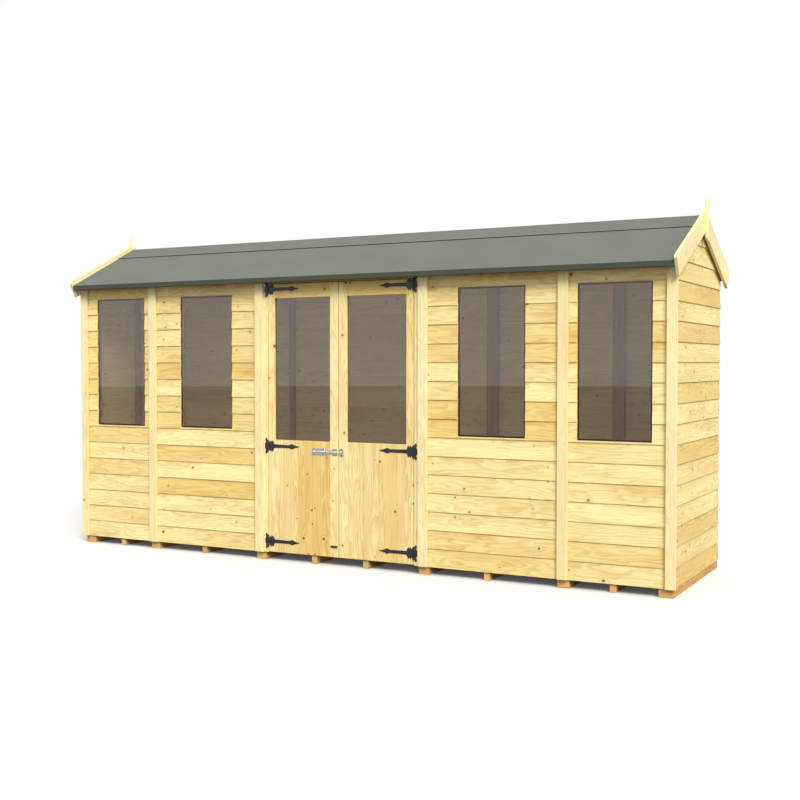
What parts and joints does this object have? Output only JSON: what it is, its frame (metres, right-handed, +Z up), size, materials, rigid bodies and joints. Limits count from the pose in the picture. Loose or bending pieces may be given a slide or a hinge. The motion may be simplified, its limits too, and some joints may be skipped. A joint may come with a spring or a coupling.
{
  "type": "garden summerhouse",
  "caption": "Long, shallow timber summerhouse with a felted apex roof, clad walls, tall fixed windows and a pair of half-glazed front doors on strap hinges with a sliding bolt.",
  "frame": {"origin": "on the ground under the middle of the building", "axes": "+X along the front towards its right-hand end, -Y out of the front, +Z up"},
  "size_m": [4.43, 1.326, 2.285],
  "materials": {
    "cladding": "sawn pine boards",
    "trim_wood": "planed pine",
    "board_wood": "rough boards",
    "frame_wood": "red-brown treated timber",
    "bearer_wood": "orange-brown treated timber",
    "felt": "mineral felt, green grey",
    "glass": "clear, smooth",
    "black_iron": "black satin",
    "zinc": "bright zinc"
  },
  "bodies": {
    "building": {"floor_bearers": "bearer_wood", "floor_deck": "board_wood", "front_left_outer_wall": "cladding", "front_left_inner_wall": "cladding", "front_right_inner_wall": "cladding", "front_right_outer_wall": "cladding", "back_wall": "cladding", "left_gable_wall": "cladding", "right_gable_wall": "cladding", "door_head": "cladding", "door_posts": "trim_wood", "wall_studs": "frame_wood", "bottom_plates": "frame_wood", "top_plates": "frame_wood", "window_rails": "frame_wood", "corner_trims": "trim_wood", "panel_trims": "trim_wood", "door_trims": "trim_wood", "window_panes": "glass", "window_beads": "frame_wood", "roof_front": "board_wood", "roof_back": "board_wood", "roof_felt": "felt", "ridge_felt": "felt", "eave_battens": "board_wood", "roof_beams": "frame_wood", "barge_boards": "trim_wood", "finials": "trim_wood", "hinge_plates": "black_iron"},
    "left_door": {"left_door_boards": "cladding", "left_door_stiles": "frame_wood", "left_door_ledges": "frame_wood", "left_door_pane": "glass", "left_door_straps": "black_iron", "bolt_plate": "zinc", "turn_button": "black_iron"},
    "bolt": {"bolt_rod": "zinc"},
    "right_door": {"right_door_boards": "cladding", "right_door_stiles": "frame_wood", "right_door_ledges": "frame_wood", "right_door_pane": "glass", "right_door_straps": "black_iron", "bolt_keeper": "zinc"}
  },
  "joints": [
    {"name": "left_door_hinge", "type": "hinge", "parent": "building", "child": "left_door", "pos_m": [-0.5435, -0.562, 0.94], "axis": [0, 0, -1], "range_deg": [0, 150]},
    {"name": "right_door_hinge", "type": "hinge", "parent": "building", "child": "right_door", "pos_m": [0.5435, -0.562, 0.94], "axis": [0, 0, 1], "range_deg": [0, 150]},
    {"name": "bolt_slide", "type": "slide", "parent": "left_door", "child": "bolt", "axis": [1, 0, 0], "range_m": [-0.02, 0.034]}
  ]
}
